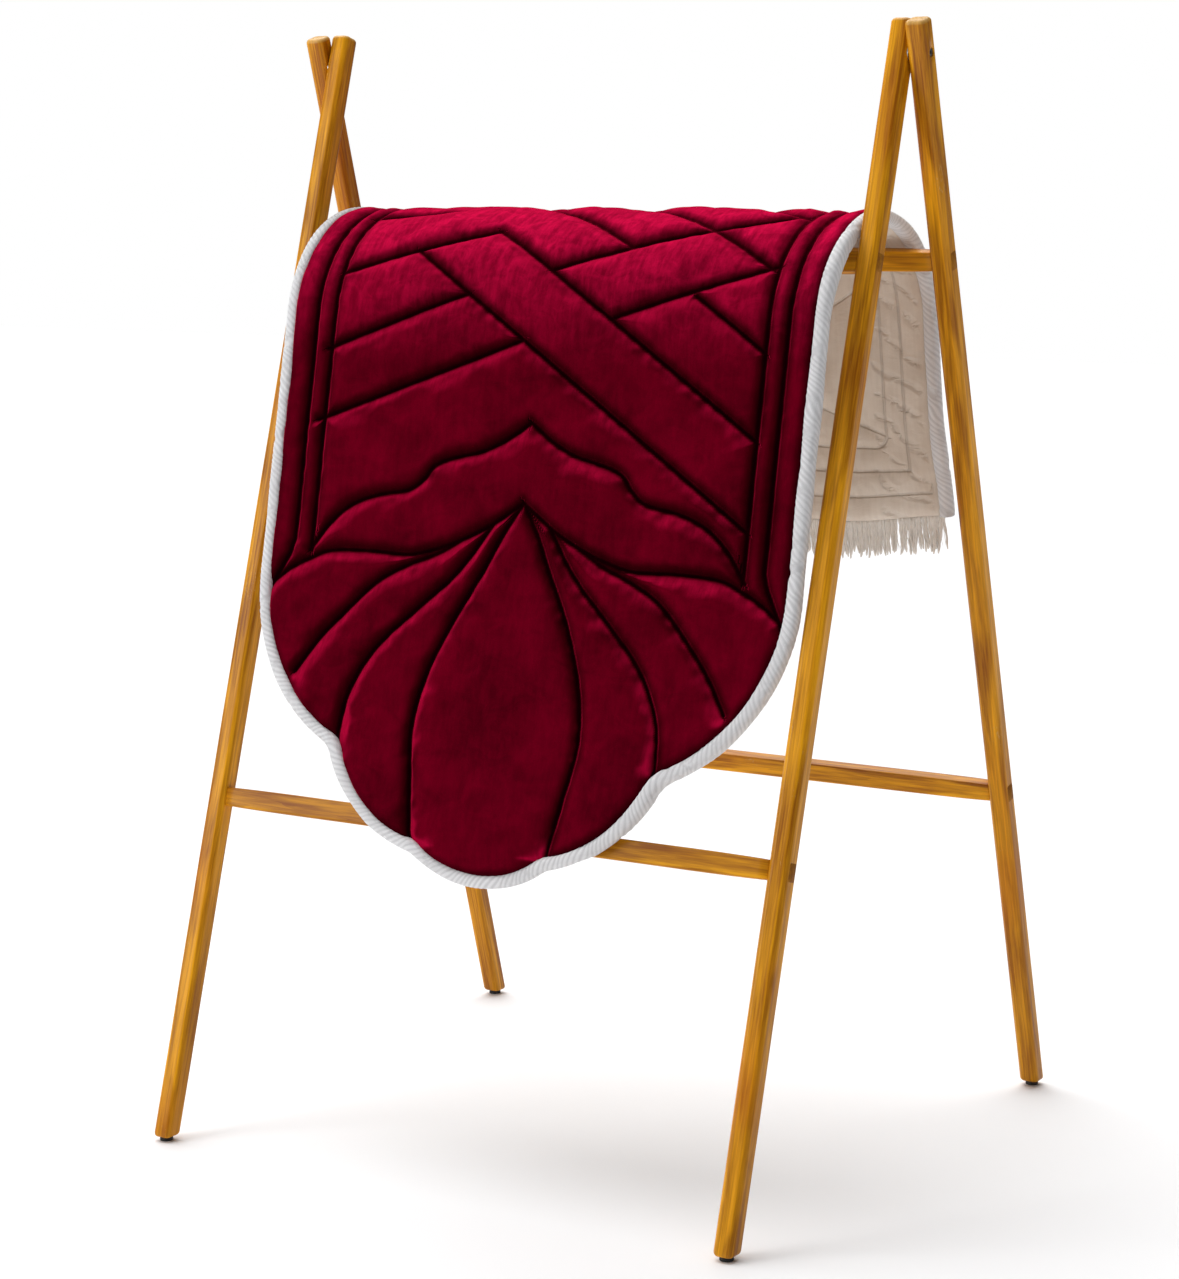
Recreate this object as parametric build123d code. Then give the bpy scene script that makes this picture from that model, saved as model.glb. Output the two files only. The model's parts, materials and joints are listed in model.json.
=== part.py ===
from build123d import *
import math
import os

# A padded velvet quilt draped over a folding wooden rack.  Two ladder frames, each of two legs,
# a top rail and a lower stretcher, cross near their tops and turn on a screw at each side.
# The quilt lies over both top rails: its long lobed end hangs in front, its fringed end behind.
# Row frame: +X to the right along the rails, +Y to the back, +Z up, origin on the floor in the middle.

os.makedirs("parts", exist_ok=True)

# ---------------------------------------------------------------- driving dimensions, millimetres
LEG = 23.4                  # side of the square leg
LEG_CHAMFER = 4.0           # flat taken off each long corner, which makes the leg eight-sided
LEG_END_CHAMFER = 2.5       # chamfer round each end of a leg
LEG_ABOVE_PIVOT = 35.0      # leg above the pivot, along the leg
PIVOT_HEIGHT = 1197.0       # pivot axis above the floor
SPLAY = 16.5                # each frame leans this many degrees from upright
FRONT_HALF_WIDTH = 360.0    # middle plane to the centre of a front leg
LEG_GAP = 1.0               # between a front leg and the back leg beside it
BACK_HALF_WIDTH = FRONT_HALF_WIDTH + LEG + LEG_GAP

RAIL_HEIGHT = 23.0          # rails and stretchers, measured along the leg
RAIL_THICKNESS = 15.5
RAIL_ROUND = 2.5
TENON_HEIGHT = 20.0
TENON_THICKNESS = 13.5
MORTISE_GLUE = 0.1          # glue line round a tenon
TOP_RAIL_DROP = 224.0       # pivot to rail centre, along the leg
STRETCHER_DROP = 857.0      # pivot to stretcher centre, along the leg

SCREW_R = 3.0               # pivot screw shank
SCREW_FIT = 0.05            # radial clearance of the running and the threaded fit
SCREW_HEAD_R = 4.3
SCREW_HEAD_LENGTH = 3.2
SCREW_HEX_R = 2.0
RECESS_R = 4.8              # recess that sinks the screw head in the back leg
RECESS_DEPTH = 4.6
BODY_CLEARANCE = 0.3        # between faces that turn past each other
INSERT_R = 4.7              # brass insert in the front leg
INSERT_LENGTH = 15.0
INSERT_HOLE_FIT = 0.1
INSERT_HOLE_DEPTH = 16.0
INSERT_BLIND = 1.0          # the screw's end stops this far short of the insert's inner end
WASHER_R = 8.0
WASHER_THICKNESS = LEG_GAP - BODY_CLEARANCE

PAD_R = 7.5                 # rubber foot under each leg
PAD_HEIGHT = 5.0
PAD_CHAMFER = 0.6
PAD_SCREW_R = 1.5
PAD_SCREW_LENGTH = 18.0
PAD_SCREW_FIT = 0.1
PAD_HEAD_R = 3.0
PAD_HEAD_HEIGHT = 1.5
PAD_HEAD_TOP = 3.0          # the ledge in the pad that the screw head pulls against

QUILT_HALF_WIDTH = 344.0    # over the edge binding
QUILT_SHIFT = 3.5           # the quilt hangs this far right of the middle
BINDING = 15.0              # width of the bound edge
FACE_THICKNESS = 2.5
LINING_THICKNESS = 1.5
QUILT_THICKNESS = 16.0
ARCH_R = 139.0              # outer face of the stiff arch over both rails
ARCH_CENTRE = 897.0         # height of the arch's centre
CROWN_HALF_ANGLE = 30.0     # the crown is the part of the arch between the rails
# The long end's scallops: the shoulder's, the side petal's and the tip's circle, as (across from the middle,
# down the cloth from the ridge, radius).
SCALLOPS = [(127.0, 480.0, 217.0), (44.0, 606.5, 184.0), (0.0, 669.0, 145.0)]
NOTCH_ROUND = 30.0
FRINGE_LENGTH = 44.0
FRINGE_THICKNESS = 3.0
FRINGE_GAP = 0.2
LOW = (Align.CENTER, Align.CENTER, Align.MIN)   # stands a solid on its base

# A hanging side of the quilt is a chain of ("arc", radius, degrees) and ("line", length), from the ridge
# outwards and down.  A negative turn bends the other way.
FRONT_RUN = [
    ("arc", ARCH_R, 79.0),
    ("line", 280.0),
    ("arc", 500.0, -5.5),
    ("line", 239.5),
    ("arc", 40.0, 15.5),
    ("line", 47.0),
]
BACK_RUN = [
    ("arc", ARCH_R, 80.5),
    ("line", 233.0),
]


def save(name, *solids):
    """Writes one node, a solid or a group of separate like solids."""
    shape = solids[0] if len(solids) == 1 else Compound(children=list(solids))
    export_step(shape, f"parts/{name}.step")


def cylinder_x(radius, x_from, x_to):
    """A cylinder along X, between two places on the X axis."""
    length = abs(x_to - x_from)
    return Pos((x_from + x_to) / 2, 0, 0) * Rot(0, 90, 0) * Cylinder(radius, length)


# ---------------------------------------------------------------- the two ladder frames
def placed(shape, side):
    """Leans a frame built upright below a pivot at the origin: side -1 is the front, +1 the back."""
    return Pos(0, 0, PIVOT_HEIGHT) * Rot(side * SPLAY, 0, 0) * shape


def foot_y(side):
    """Y of a leg's centre line at the top of its pad."""
    return side * (PIVOT_HEIGHT - PAD_HEIGHT) * math.tan(math.radians(SPLAY))


def leg(half_width, side, hand):
    """One eight-sided leg with its mortises and pivot hole; hand is -1 left, +1 right."""
    reach = PIVOT_HEIGHT / math.cos(math.radians(SPLAY)) + LEG
    blank = Pos(0, 0, (LEG_ABOVE_PIVOT - reach) / 2) * Box(LEG, LEG, LEG_ABOVE_PIVOT + reach)
    blank = chamfer(blank.edges().filter_by(Axis.Z), LEG_CHAMFER)
    blank = chamfer(blank.faces().sort_by(Axis.Z)[-1].edges(), LEG_END_CHAMFER)
    for drop in (TOP_RAIL_DROP, STRETCHER_DROP):
        mortise = Box(2 * LEG, TENON_THICKNESS + 2 * MORTISE_GLUE, TENON_HEIGHT + 2 * MORTISE_GLUE)
        blank -= Pos(0, 0, -drop) * mortise
    if side < 0:
        mouth = hand * LEG / 2
        blank -= cylinder_x(INSERT_R + INSERT_HOLE_FIT, mouth - hand * INSERT_HOLE_DEPTH, mouth)
    else:
        face = hand * LEG / 2
        blank -= cylinder_x(SCREW_R + SCREW_FIT, -LEG, LEG)
        blank -= cylinder_x(RECESS_R, face - hand * RECESS_DEPTH, face)
    standing = placed(Pos(hand * half_width, 0, 0) * blank, side)
    standing -= Pos(hand * half_width, foot_y(side), PAD_HEIGHT - 2 * LEG) * Box(4 * LEG, 4 * LEG, 4 * LEG)
    standing = chamfer(standing.faces().sort_by(Axis.Z)[0].edges(), LEG_END_CHAMFER)
    pilot = Cylinder(PAD_SCREW_R + PAD_SCREW_FIT, PAD_SCREW_LENGTH, align=LOW)
    standing -= Pos(hand * half_width, foot_y(side), PAD_HEIGHT) * pilot
    return standing.solid()


def rail(half_width, side, drop):
    """A rail or stretcher between a frame's legs, with a through tenon at each end."""
    inner = half_width - LEG / 2
    body = Box(2 * inner, RAIL_THICKNESS, RAIL_HEIGHT)
    body = fillet(body.edges().filter_by(Axis.X), RAIL_ROUND)
    tenons = Box(2 * (half_width + LEG / 2), TENON_THICKNESS, TENON_HEIGHT)
    return placed(Pos(0, 0, -drop) * (body + tenons), side).solid()


def pivot_screw(hand):
    """The screw that a back leg turns on, with its head sunk in the back leg's outer face."""
    head_seat = hand * (BACK_HALF_WIDTH + LEG / 2 - RECESS_DEPTH + BODY_CLEARANCE)
    head_top = head_seat + hand * SCREW_HEAD_LENGTH
    tip = hand * (FRONT_HALF_WIDTH + LEG / 2 - INSERT_LENGTH + INSERT_BLIND)
    screw = cylinder_x(SCREW_R, tip, head_seat) + cylinder_x(SCREW_HEAD_R, head_seat, head_top)
    socket = extrude(Plane.YZ * RegularPolygon(SCREW_HEX_R, 6), SCREW_HEAD_LENGTH, both=True)
    screw -= Pos(head_top + hand * SCREW_HEAD_LENGTH / 3, 0, 0) * socket
    return placed(screw, -1).solid()


def screw_insert(hand):
    """The threaded brass insert that the screw grips inside the front leg."""
    mouth = hand * (FRONT_HALF_WIDTH + LEG / 2)
    back = mouth - hand * INSERT_LENGTH
    ring = cylinder_x(INSERT_R, back, mouth) - cylinder_x(SCREW_R + SCREW_FIT, back - hand, mouth + hand)
    return placed(ring, -1).solid()


def spacer_washer(hand):
    """The thin washer that keeps a front leg off the back leg beside it."""
    inner = hand * (FRONT_HALF_WIDTH + LEG / 2)
    outer = inner + hand * WASHER_THICKNESS
    ring = cylinder_x(WASHER_R, inner, outer) - cylinder_x(SCREW_R + 2 * SCREW_FIT, inner - hand, outer + hand)
    return placed(ring, -1).solid()


def foot_pad(half_width, side, hand):
    """A round rubber foot with a recess for its screw."""
    pad = Cylinder(PAD_R, PAD_HEIGHT, align=LOW)
    pad = chamfer(pad.edges().filter_by(GeomType.CIRCLE), PAD_CHAMFER)
    pad -= Cylinder(PAD_HEAD_R + PAD_SCREW_FIT, PAD_HEAD_TOP, align=LOW)
    pad -= Cylinder(PAD_SCREW_R + PAD_SCREW_FIT, PAD_HEIGHT, align=LOW)
    return (Pos(hand * half_width, foot_y(side), 0) * pad).solid()


def foot_screw(half_width, side, hand):
    """The screw that holds a rubber foot to its leg."""
    head = Pos(0, 0, PAD_HEAD_TOP - PAD_HEAD_HEIGHT) * Cylinder(PAD_HEAD_R, PAD_HEAD_HEIGHT, align=LOW)
    shank = Pos(0, 0, PAD_HEAD_TOP) * Cylinder(PAD_SCREW_R, PAD_SCREW_LENGTH - PAD_HEAD_TOP, align=LOW)
    return (Pos(hand * half_width, foot_y(side), 0) * (head + shank)).solid()


# ---------------------------------------------------------------- the quilt
def walk(run, offset):
    """Points of a hanging side, offset inwards from the outer face: (kind, start, middle, end) steps.

    Points are (outward, height); the heading starts level and each arc turns it down by its degrees.
    """
    outward, height, heading = 0.0, ARCH_CENTRE + ARCH_R - offset, 0.0
    steps = []
    for kind, *size in run:
        start = (outward, height)
        if kind == "line":
            outward += size[0] * math.cos(heading)
            height -= size[0] * math.sin(heading)
            steps.append((kind, start, None, (outward, height)))
            continue
        radius, turn = size[0], math.radians(size[1])
        sign = math.copysign(1.0, turn)
        bend = radius - sign * offset
        marks = []
        for part in (0.5, 1.0):
            angle = heading + part * turn
            marks.append((
                outward + sign * bend * (math.sin(angle) - math.sin(heading)),
                height - sign * bend * (math.cos(heading) - math.cos(angle)),
            ))
        heading += turn
        outward, height = marks[1]
        steps.append((kind, start, marks[0], marks[1]))
    return steps


def on_arch(degrees, offset):
    """A point of the arch this many degrees from the ridge, as (outward, height)."""
    bend = ARCH_R - offset
    angle = math.radians(degrees)
    return bend * math.sin(angle), ARCH_CENTRE + bend * math.cos(angle)


def layer_side(run, side, outer, inner):
    """The cross-section of one layer of a hanging side, between two offsets, in the YZ plane."""
    def line_of(offset):
        edges = []
        for number, (kind, start, middle, end) in enumerate(walk(run, offset)):
            if number == 0:  # the crown takes the start of the first arc
                start = on_arch(CROWN_HALF_ANGLE, offset)
                middle = on_arch((CROWN_HALF_ANGLE + run[0][2]) / 2, offset)
            points = [(side * p[0], p[1]) for p in (start, middle, end) if p]
            edges.append(Line(*points) if kind == "line" else ThreePointArc(*points))
        return edges, edges[0] @ 0, edges[-1] @ 1

    out_edges, out_top, out_end = line_of(outer)
    in_edges, in_top, in_end = line_of(inner)
    border = out_edges + in_edges + [Line(out_top, in_top), Line(out_end, in_end)]
    return Plane.YZ * make_face(border)


def layer_crown(outer, inner):
    """The cross-section of one layer of the crown, in the YZ plane."""
    arcs = []
    for offset in (outer, inner):
        end, height = on_arch(CROWN_HALF_ANGLE, offset)
        arcs.append(ThreePointArc((-end, height), (0, ARCH_CENTRE + ARCH_R - offset), (end, height)))
    sides = [Line(arcs[0] @ t, arcs[1] @ t) for t in (0, 1)]
    return Plane.YZ * make_face(arcs + sides)


def height_at(down):
    """Height of the front side's outer face, a distance down the cloth from the ridge."""
    heading, height = 0.0, ARCH_CENTRE + ARCH_R
    for kind, *size in FRONT_RUN:
        turn = 0.0 if kind == "line" else math.radians(size[1])
        length = size[0] if kind == "line" else abs(turn) * size[0]
        used = min(down, length)
        end = heading + turn * used / length
        if kind == "line":
            height -= used * math.sin(heading)
        else:
            height -= math.copysign(size[0], turn) * (math.cos(heading) - math.cos(end))
        down -= used
        heading = end
        if down <= 0:
            break
    return height


def crossing(circle_a, circle_b):
    """Where two circles cross, each given as (u, v, radius): the crossing further from the middle."""
    (ua, va, ra), (ub, vb, rb) = circle_a, circle_b
    apart = math.hypot(ub - ua, vb - va)
    along = (ra**2 - rb**2 + apart**2) / (2 * apart)
    off = math.sqrt(ra**2 - along**2)
    du, dv = (ub - ua) / apart, (vb - va) / apart
    return max((ua + along * du - hand * off * dv, va + along * dv + hand * off * du) for hand in (-1, 1))


def half_way(circle, start, end):
    """The point of a circle half-way between two of its points."""
    u, v, radius = circle
    turn = (math.atan2(start[1] - v, start[0] - u) + math.atan2(end[1] - v, end[0] - u)) / 2
    return (u + radius * math.cos(turn), v + radius * math.sin(turn))


def lobed_outline(inset=0.0):
    """The long end's outline in the XZ plane: straight sides, then three scallops a side with rounded notches."""
    half_width = QUILT_HALF_WIDTH - inset
    shoulder, petal, tip = ((u, v, radius - inset) for u, v, radius in SCALLOPS)
    first, second = crossing(shoulder, petal), crossing(petal, tip)

    def place(hand, point):
        return (hand * point[0], height_at(point[1]))

    top = ARCH_CENTRE + ARCH_R + QUILT_THICKNESS
    edges = [Line((-half_width, top), (half_width, top))]
    for hand in (-1, 1):
        start = (half_width, shoulder[1])
        edges.append(Line((hand * half_width, top), place(hand, start)))
        for circle, a, b in ((shoulder, start, first), (petal, first, second)):
            edges.append(ThreePointArc(place(hand, a), place(hand, half_way(circle, a, b)), place(hand, b)))
    edges.append(ThreePointArc(place(-1, second), place(1, (0, tip[1] + tip[2])), place(1, second)))
    outline = make_face(edges)
    notches = outline.vertices().sort_by(Axis.Y)[:4]
    return fillet(notches, NOTCH_ROUND + inset)


def quilt_prism(outline):
    """An outline in the XZ plane, made long along Y and moved to where the quilt hangs."""
    return Pos(QUILT_SHIFT, 0, 0) * extrude(Plane.XZ * outline, PIVOT_HEIGHT / 2, both=True)


def across(section, low, high):
    """A cross-section in the YZ plane, extruded between two places across the quilt."""
    return Pos(QUILT_SHIFT + (low + high) / 2, 0, 0) * extrude(section, (high - low) / 2, both=True)


LAYERS = {
    "face": (0.0, FACE_THICKNESS),
    "filling": (FACE_THICKNESS, QUILT_THICKNESS - LINING_THICKNESS),
    "lining": (QUILT_THICKNESS - LINING_THICKNESS, QUILT_THICKNESS),
}
INNER_HALF_WIDTH = QUILT_HALF_WIDTH - BINDING


def make_quilt():
    """The quilt in three stretches: front, crown and back, each with its face, filling, lining and binding."""
    whole, inside = quilt_prism(lobed_outline()), quilt_prism(lobed_outline(BINDING))
    full = (-QUILT_HALF_WIDTH, QUILT_HALF_WIDTH)
    for name, (outer, inner) in LAYERS.items():
        section = layer_side(FRONT_RUN, -1, outer, inner)
        save(f"quilt_front_{name}", (across(section, *full) & inside).solid())
        save(f"quilt_crown_{name}", across(layer_crown(outer, inner), -INNER_HALF_WIDTH, INNER_HALF_WIDTH).solid())
        section = layer_side(BACK_RUN, 1, outer, inner)
        save(f"quilt_back_{name}", across(section, -INNER_HALF_WIDTH, INNER_HALF_WIDTH).solid())
    front = across(layer_side(FRONT_RUN, -1, 0, QUILT_THICKNESS), *full) & whole
    save("quilt_front_binding", (front - inside).solid())
    strips = {"left": (-QUILT_HALF_WIDTH, -INNER_HALF_WIDTH), "right": (INNER_HALF_WIDTH, QUILT_HALF_WIDTH)}
    crown, back = layer_crown(0, QUILT_THICKNESS), layer_side(BACK_RUN, 1, 0, QUILT_THICKNESS)
    for hand, strip in strips.items():
        save(f"quilt_crown_{hand}_binding", across(crown, *strip).solid())
        save(f"quilt_back_{hand}_binding", across(back, *strip).solid())
    middle = QUILT_THICKNESS / 2
    hem_y, hem_z = walk(BACK_RUN, middle)[-1][3]
    tilt = 90 - BACK_RUN[0][2]
    fringe = Box(2 * INNER_HALF_WIDTH, FRINGE_THICKNESS, FRINGE_LENGTH, align=(Align.CENTER, Align.CENTER, Align.MAX))
    save("quilt_fringe", (Pos(QUILT_SHIFT, hem_y, hem_z) * Rot(tilt, 0, 0) * Pos(0, 0, -FRINGE_GAP) * fringe).solid())


def make_rack():
    """Both frames, the pivots between them and their feet."""
    for frame_name, side, half_width in (("front", -1, FRONT_HALF_WIDTH), ("back", 1, BACK_HALF_WIDTH)):
        screws = []
        for hand_name, hand in (("left", -1), ("right", 1)):
            save(f"{frame_name}_{hand_name}_leg", leg(half_width, side, hand))
            save(f"{frame_name}_{hand_name}_foot_pad", foot_pad(half_width, side, hand))
            screws.append(foot_screw(half_width, side, hand))
        save(f"{frame_name}_foot_screws", *screws)
        save(f"{frame_name}_top_rail", rail(half_width, side, TOP_RAIL_DROP))
        save(f"{frame_name}_lower_stretcher", rail(half_width, side, STRETCHER_DROP))
    for hand_name, hand in (("left", -1), ("right", 1)):
        save(f"{hand_name}_pivot_screw", pivot_screw(hand))
        save(f"{hand_name}_screw_insert", screw_insert(hand))
        save(f"{hand_name}_spacer_washer", spacer_washer(hand))


make_rack()
make_quilt()
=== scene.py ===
import json
import math

import bpy
import numpy as np
from bpy.props import FloatProperty, FloatVectorProperty, IntProperty, PointerProperty
from mathutils import Matrix, Vector


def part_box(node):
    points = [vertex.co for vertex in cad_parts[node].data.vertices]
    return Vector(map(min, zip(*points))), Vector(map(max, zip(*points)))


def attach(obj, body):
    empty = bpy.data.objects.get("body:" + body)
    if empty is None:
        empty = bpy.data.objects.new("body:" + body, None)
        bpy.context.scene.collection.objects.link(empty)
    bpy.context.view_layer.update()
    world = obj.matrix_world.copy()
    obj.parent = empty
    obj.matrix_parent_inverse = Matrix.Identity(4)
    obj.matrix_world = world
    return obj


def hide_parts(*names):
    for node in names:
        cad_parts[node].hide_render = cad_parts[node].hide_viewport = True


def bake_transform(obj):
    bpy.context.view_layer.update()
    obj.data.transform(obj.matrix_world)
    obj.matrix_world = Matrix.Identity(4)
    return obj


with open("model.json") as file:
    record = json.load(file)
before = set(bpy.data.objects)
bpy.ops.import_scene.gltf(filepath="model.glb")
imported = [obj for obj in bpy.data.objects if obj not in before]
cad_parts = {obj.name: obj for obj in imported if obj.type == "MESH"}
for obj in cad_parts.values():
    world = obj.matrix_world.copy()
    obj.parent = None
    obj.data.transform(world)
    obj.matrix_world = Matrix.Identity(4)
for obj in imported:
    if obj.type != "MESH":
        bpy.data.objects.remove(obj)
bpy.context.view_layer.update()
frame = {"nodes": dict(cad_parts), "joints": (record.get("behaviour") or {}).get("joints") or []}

bl_info = {
    "name": "Quilt on a Folding Rack",
    "version": (1, 0, 0),
    "blender": (4, 5, 0),
    "location": "View3D > Sidebar > Quilt Rack",
    "description": "Builds a padded velvet quilt draped over a folding wooden rack",
    "category": "Add Mesh",
}

MM = 0.001

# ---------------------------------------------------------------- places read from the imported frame
PIVOT = Vector(frame["joints"][0]["pos_m"])
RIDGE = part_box("quilt_crown_face")[1].z
BINDING_LOW, BINDING_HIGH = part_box("quilt_front_binding")
QUILT_MIDDLE = (BINDING_LOW.x + BINDING_HIGH.x) / 2
QUILT_HALF = (BINDING_HIGH.x - BINDING_LOW.x) / 2
PAD_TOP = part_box("front_left_foot_pad")[1].z


def middle_of(node):
    """The middle of a CAD node's box."""
    low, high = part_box(node)
    return (low + high) / 2


TOP_RAIL = middle_of("front_top_rail")
SPLAY = math.atan2(-TOP_RAIL.y, PIVOT.z - TOP_RAIL.z)

# ---------------------------------------------------------------- the quilt's cut and hang, in millimetres
# A run is a chain of (radius, degrees) arcs and (length,) lines.
ARCH_R = 139.0
FRONT_HANG = [(ARCH_R, 79.0), (280.0,), (500.0, -5.5), (239.5,), (40.0, 15.5), (60.0,)]
BACK_HANG = [(ARCH_R, 80.5), (260.0,)]
HEM = 433.0                 # ridge to the fringed hem, down the back
# The scallops of the long end: the shoulder's, the side petal's and the tip's circle, as (u, v, radius).
SCALLOPS = np.array([(127.0, 480.0, 217.0), (44.0, 606.5, 184.0), (0.0, 669.0, 145.0)])
NOTCH_R = 30.0
THICK = 16.0
MID = -THICK / 2            # the middle of the wadding, below the outer face
EDGE = 15.0                 # width of the bound edge
SHEET_INSET = EDGE - 3.0    # where the velvet and the lining end, inside the binding
FRAME_LINES = (276.0, 300.0)        # the two stitch lines down each side
CORNER_CURL, CORNER_RISE = 16.0, 9.0    # how far the loose back corner stands off, and is drawn up


def notch(first, second):
    """The headings at both ends of the hollow arc that joins two scallops.

    The arc's centre lies NOTCH_R outside both circles, at along = (d^2 + a^2 - b^2) / 2d from the first centre.
    """
    radius_a, radius_b = first[2] + NOTCH_R, second[2] + NOTCH_R
    gap = second[:2] - first[:2]
    apart = np.hypot(*gap)
    along = (apart**2 + radius_a**2 - radius_b**2) / (2 * apart)
    aside = math.sqrt(radius_a**2 - along**2)
    across = gap / apart
    centre = first[:2] + along * across + aside * np.array([across[1], -across[0]])
    return [math.degrees(math.atan2(*(centre - circle[:2])[::-1])) for circle in (first, second)]


HALF_WIDTH = QUILT_HALF / MM
SHOULDER, PETAL, LOBE = SCALLOPS
SHOULDER_TO, PETAL_FROM = notch(SHOULDER, PETAL)
PETAL_TO, LOBE_FROM = notch(PETAL, LOBE)
OUTLINE = [
    (HEM + SHOULDER[1],),
    (SHOULDER[2], SHOULDER_TO),
    (NOTCH_R, PETAL_FROM - SHOULDER_TO),
    (PETAL[2], PETAL_TO - PETAL_FROM),
    (NOTCH_R, LOBE_FROM - PETAL_TO),
    (LOBE[2], 90.0 - LOBE_FROM),
]


def follow(run, distance, x, y, heading):
    """Place and heading at each distance along a run that starts at x, y with a heading in degrees.

    Along a line the heading stays; along an arc of radius R it turns by distance / R.  x grows with the heading's
    cosine and y with its sine, so a positive turn bends from x towards y.
    """
    distance = np.asarray(distance, float)
    heading = math.radians(heading)
    out_x, out_y, out_heading = (np.zeros_like(distance) for _ in range(3))
    start = 0.0
    for number, step in enumerate(run):
        length = step[0] if len(step) == 1 else step[0] * abs(math.radians(step[1]))
        last = number == len(run) - 1
        here = (distance >= start) & ((distance < start + length) | last)
        some = np.append(distance[here] - start, length)
        if len(step) == 1:
            turned = np.full_like(some, heading)
            xs, ys = x + some * math.cos(heading), y + some * math.sin(heading)
        else:
            bend = math.copysign(step[0], step[1])
            turned = heading + some / bend
            xs = x + bend * (np.sin(turned) - math.sin(heading))
            ys = y - bend * (np.cos(turned) - math.cos(heading))
        out_x[here], out_y[here], out_heading[here] = xs[:-1], ys[:-1], turned[:-1]
        x, y, heading, start = xs[-1], ys[-1], turned[-1], start + length
    return out_x, out_y, out_heading


def run_length(run):
    """The length of a run of lines and arcs."""
    return sum(step[0] if len(step) == 1 else step[0] * abs(math.radians(step[1])) for step in run)


def outline(distance, inset):
    """The right-hand edge in flat (u, v), a distance along it from the hem and an inset in from it.

    The edge is a straight side, then the arcs of three scallops with a small hollow arc between each two; the inset
    moves each point back along the edge's own normal.  The last two values are that normal, pointing outwards.
    """
    u, v, heading = follow(OUTLINE, distance, HALF_WIDTH, -HEM, 90.0)
    return u - inset * np.sin(heading), v + inset * np.cos(heading), np.sin(heading), -np.cos(heading)


def smooth_step(x, start, width):
    """0 before start, 1 past start + width, and 3 t^2 - 2 t^3 of the share t between."""
    t = np.clip((x - start) / width, 0, 1)
    return t * t * (3 - 2 * t)


def corner_lift(u, v):
    """The share by which the loose back corner on the right curls away from the plane."""
    return smooth_step(u, 215.0, 130.0) * smooth_step(-v, 300.0, 130.0)


def hang(u, v, lift):
    """Where a flat point (u across, v down the front from the ridge) hangs, raised by lift, in metres.

    v is walked down the front run, or -v down the back run; lift goes along the run's normal, which points up at
    the ridge and outwards lower down.
    """
    u, v, lift = np.broadcast_arrays(*(np.asarray(a, float) for a in (u, v, lift)))
    curl = corner_lift(u, v)
    lift = lift + CORNER_CURL * curl
    v = v + CORNER_RISE * curl * np.clip((-v - 250.0) / 170.0, 0, 1)
    front = v >= 0
    y, z, heading = (np.where(front, a, b) for a, b in zip(
        follow(FRONT_HANG, np.abs(v), 0.0, 0.0, 0.0), follow(BACK_HANG, np.abs(v), 0.0, 0.0, 0.0)))
    outward = y + lift * np.sin(heading)
    height = RIDGE / MM - z + lift * np.cos(heading)
    return np.stack([QUILT_MIDDLE / MM + u, np.where(front, -outward, outward), height], axis=-1) * MM


# ---------------------------------------------------------------- stitch lines in flat millimetres
def smooth_line(*points):
    """A smooth line through the points: each span is the Catmull-Rom cubic of the four points around it."""
    p = np.array(points, float)
    p = np.vstack([2 * p[0] - p[1], p, 2 * p[-1] - p[-2]])
    t = np.linspace(0, 1, 7, endpoint=False)[None, :, None]
    a, b, c, d = (p[i:len(p) - 3 + i, None] for i in range(4))
    curve = b + 0.5 * ((c - a) * t + (2 * a - 5 * b + 4 * c - d) * t**2 + (3 * b - a - 3 * c + d) * t**3)
    return np.vstack([curve.reshape(-1, 2), p[-2]])


def both_sides(*lines):
    """The lines and their mirror images across the middle."""
    return [line * [hand, 1] for line in lines for hand in (1, -1)]


def straight(*points):
    """A line of straight spans."""
    return np.array(points, float)


def full_turn(count):
    """That many angles round a full turn."""
    return np.linspace(0, 2 * math.pi, count, endpoint=False)


def rounded_frame(u, v, corner):
    """Half of a stitched frame: down the side at u, round a corner of that radius, and along the back at v."""
    turn = np.linspace(0, math.pi / 2, 7)
    arc = np.stack([u - corner + corner * np.cos(turn), v + corner - corner * np.sin(turn)], axis=-1)
    return np.vstack([arc, [[0.0, v]]])


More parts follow.
